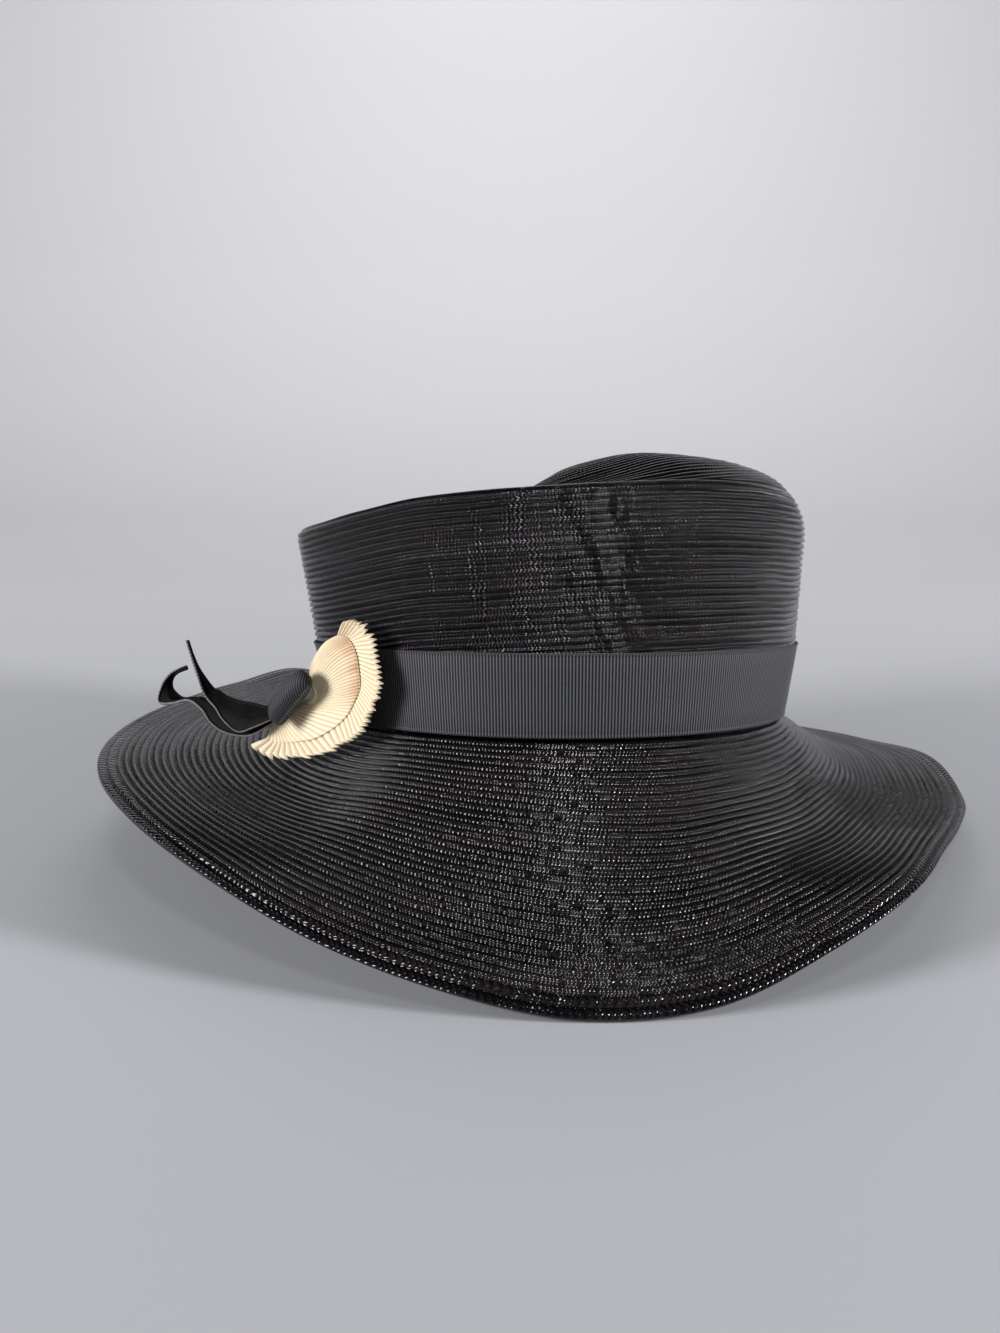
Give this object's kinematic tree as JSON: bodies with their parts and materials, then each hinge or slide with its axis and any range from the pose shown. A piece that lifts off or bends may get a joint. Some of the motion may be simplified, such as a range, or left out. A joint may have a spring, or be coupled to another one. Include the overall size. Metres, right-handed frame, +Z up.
{
  "type": "sewn straw wide-brim hat",
  "caption": "Black sewn-straw hat with a dented, domed crown, a wide drooping waved brim, a grosgrain band, a cream pleated fan and a ribbon bow.",
  "frame": {"origin": "middle of the hat's outline seen from above, at the height of the surface it rests on", "axes": "+Z up with the hat lying on its brim's edge, front towards -Y, +X to the right of someone who faces the hat's front; the fan and bow are at -X"},
  "size_m": [0.3272, 0.3214, 0.1417],
  "materials": {
    "black_straw": "glossy lacquered straw braid, sewn in overlapping rows",
    "black_grosgrain": "ribbed grosgrain ribbon with a soft sheen",
    "cream_pleats": "matte pleated ribbon with a picot edge"
  },
  "bodies": {
    "root": {"brim": "black_straw", "crown": "black_straw", "hat_band": "black_grosgrain", "fan_inner": "cream_pleats", "fan_outer": "cream_pleats", "bow_knot": "black_grosgrain", "bow_tail_outer": "black_grosgrain", "bow_tail_inner": "black_grosgrain"}
  },
  "joints": []
}
